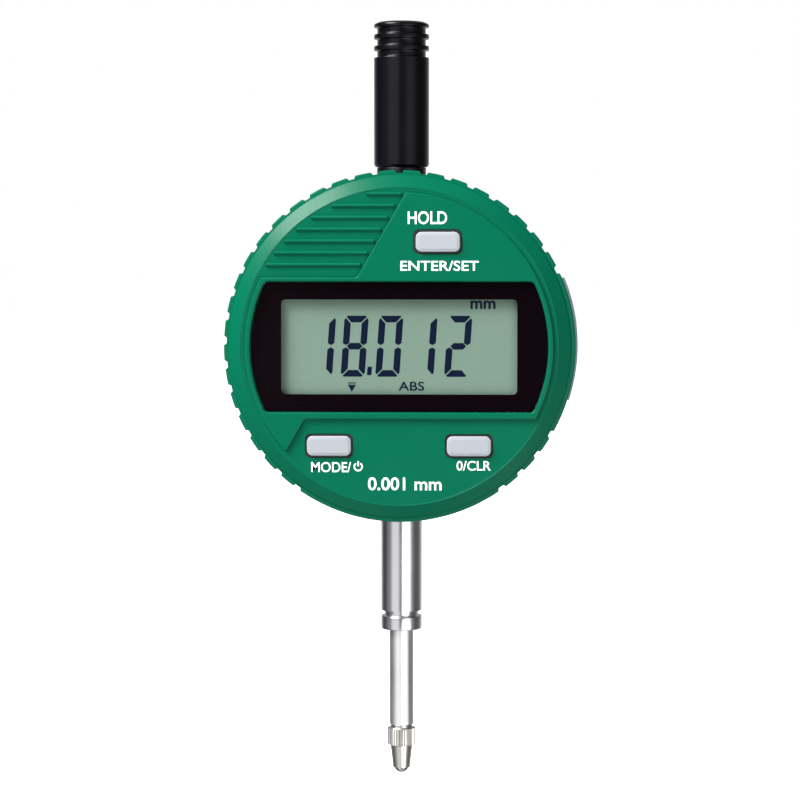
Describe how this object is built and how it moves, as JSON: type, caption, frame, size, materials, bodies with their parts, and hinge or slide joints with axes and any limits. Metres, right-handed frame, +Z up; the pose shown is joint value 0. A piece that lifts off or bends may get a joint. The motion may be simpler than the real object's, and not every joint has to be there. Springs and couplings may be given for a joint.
{
  "type": "electronic dial indicator",
  "caption": "Electronic plunger indicator with a round turnable display head, sprung spindle with ball contact, clamping stem, dust cap and rear lug.",
  "frame": {"origin": "on the stem axis, in the middle of the stem's clamping length", "axes": "+Z up along the stem towards the dust cap, the display faces -Y, +X to the viewer's right"},
  "size_m": [0.0676, 0.0397, 0.1466],
  "materials": {
    "green_plastic": "moulded, satin",
    "lens": "glossy, printed black round its edge",
    "lcd": "grey-green reflective liquid crystal",
    "key_plastic": "moulded, satin light grey",
    "black_rubber": "matt",
    "black_plastic": "moulded, satin black",
    "grey_plastic": "moulded, satin grey",
    "housing_metal": "die cast, fine blasted",
    "ground_steel": "ground and polished",
    "satin_steel": "fine turned",
    "ball": "lapped",
    "screw_steel": "plated",
    "bronze": "plain",
    "board": "solder mask",
    "chip_plastic": "moulded"
  },
  "bodies": {
    "housing": {"rear_housing": "housing_metal", "dial_retaining_ring": "housing_metal", "retaining_ring_screws": "screw_steel", "dial_oring": "black_rubber", "display_flex": "chip_plastic", "stem": "ground_steel", "lower_bush": "bronze", "wiper_seal": "black_rubber", "upper_bush": "ground_steel", "stop_bumper": "black_rubber", "spring_guide_sleeve": "black_plastic", "guide_rail": "black_plastic", "guide_rail_screws": "screw_steel", "sensor_board": "board", "encoder_readhead": "board", "sensor_board_screws": "screw_steel", "battery_holder": "black_plastic", "battery": "satin_steel", "battery_contact_negative": "bronze", "battery_contact_positive": "bronze", "data_connector": "chip_plastic", "connector_contacts": "bronze", "back_cover": "housing_metal", "back_gasket": "black_rubber", "back_cover_screws": "screw_steel", "return_spring": "screw_steel"},
    "dial": {"front_bezel": "green_plastic", "display_window": "lens", "window_adhesive": "black_rubber", "lcd_panel": "lcd", "lcd_frame": "black_plastic", "zebra_strips": "black_rubber", "display_board": "board", "display_processor": "chip_plastic", "dome_switches": "screw_steel", "key_seals": "black_rubber", "dial_back_plate": "black_plastic", "dial_plate_screws": "screw_steel"},
    "start_key": {"start_key": "key_plastic"},
    "mode_key": {"mode_key": "key_plastic"},
    "zero_key": {"zero_key": "key_plastic"},
    "spindle": {"spindle": "satin_steel", "spindle_carrier": "housing_metal", "carrier_clamp_screw": "screw_steel", "encoder_scale": "board", "anti_rotation_pin": "satin_steel", "contact_point": "satin_steel", "contact_ball": "ball"},
    "dust_cap": {"dust_cap": "black_plastic"},
    "battery_cover": {"battery_cover": "grey_plastic", "battery_cover_oring": "black_rubber"},
    "side_cover": {"side_cover": "grey_plastic"}
  },
  "joints": [
    {"name": "dial_turn", "type": "hinge", "parent": "housing", "child": "dial", "pos_m": [0, -0.0064, 0.04225], "axis": [0, -1, 0], "range_deg": [-135, 135]},
    {"name": "spindle_slide", "type": "slide", "parent": "housing", "child": "spindle", "axis": [0, 0, 1], "range_m": [0, 0.013], "stiffness_N_per_m": 30, "springref_m": -0.02, "deforming": ["return_spring"]},
    {"name": "start_press", "type": "slide", "parent": "dial", "child": "start_key", "axis": [0, 1, 0], "range_m": [0, 0.0005], "stiffness_N_per_m": 1200, "springref_m": -0.001},
    {"name": "mode_press", "type": "slide", "parent": "dial", "child": "mode_key", "axis": [0, 1, 0], "range_m": [0, 0.0005], "stiffness_N_per_m": 1200, "springref_m": -0.001},
    {"name": "zero_press", "type": "slide", "parent": "dial", "child": "zero_key", "axis": [0, 1, 0], "range_m": [0, 0.0005], "stiffness_N_per_m": 1200, "springref_m": -0.001},
    {"name": "dust_cap_pull", "type": "slide", "parent": "housing", "child": "dust_cap", "axis": [0, 0, 1], "range_m": [0, 0.03]},
    {"name": "battery_cover_turn", "type": "hinge", "parent": "housing", "child": "battery_cover", "pos_m": [-0.0165, 0.0095, 0.04625], "axis": [0, 1, 0], "range_deg": [0, 60]},
    {"name": "side_cover_pull", "type": "slide", "parent": "housing", "child": "side_cover", "axis": [1, 0, 0], "range_m": [0, 0.01]}
  ]
}
